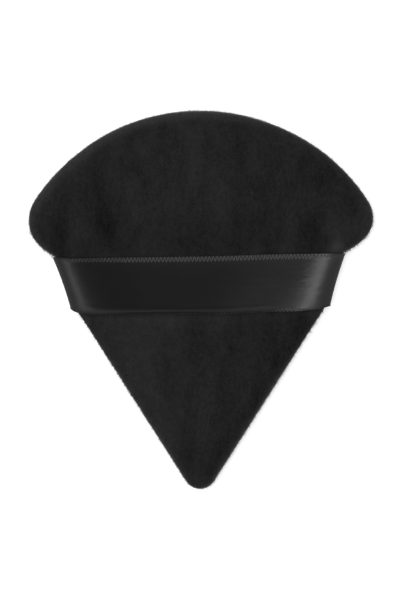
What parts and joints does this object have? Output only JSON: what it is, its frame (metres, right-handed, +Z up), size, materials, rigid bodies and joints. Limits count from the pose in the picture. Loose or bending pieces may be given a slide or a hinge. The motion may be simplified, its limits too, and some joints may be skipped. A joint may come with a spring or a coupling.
{
  "type": "powder puff",
  "caption": "Soft triangular powder puff: velour covers sewn round a foam core, with a satin ribbon strap across its face that fingers slip under.",
  "frame": {"origin": "on the surface that the puff lies on, under the middle of its bounding box", "axes": "+X across the puff along the ribbon, +Y from the tip to the broad crown, +Z up out of the face with the ribbon"},
  "size_m": [0.073, 0.08, 0.0192],
  "materials": {
    "velour": "short dense black pile",
    "satin_ribbon": "black woven satin with a woven selvedge",
    "foam": "fine open-cell polyurethane foam",
    "thread": "black polyester sewing thread"
  },
  "bodies": {
    "puff": {"foam_core": "foam", "front_cover": "velour", "back_cover": "velour", "seam_needle_thread": "thread", "seam_bobbin_thread": "thread", "closing_thread": "thread", "ribbon_left_end": "satin_ribbon", "ribbon_right_end": "satin_ribbon", "left_bar_tack": "thread", "right_bar_tack": "thread"},
    "strap": {"ribbon_band": "satin_ribbon"}
  },
  "joints": [
    {"name": "strap_lift", "type": "slide", "parent": "puff", "child": "strap", "axis": [0, 0, 1], "range_m": [-0.0034, 0.006], "stiffness_N_per_m": 2}
  ]
}
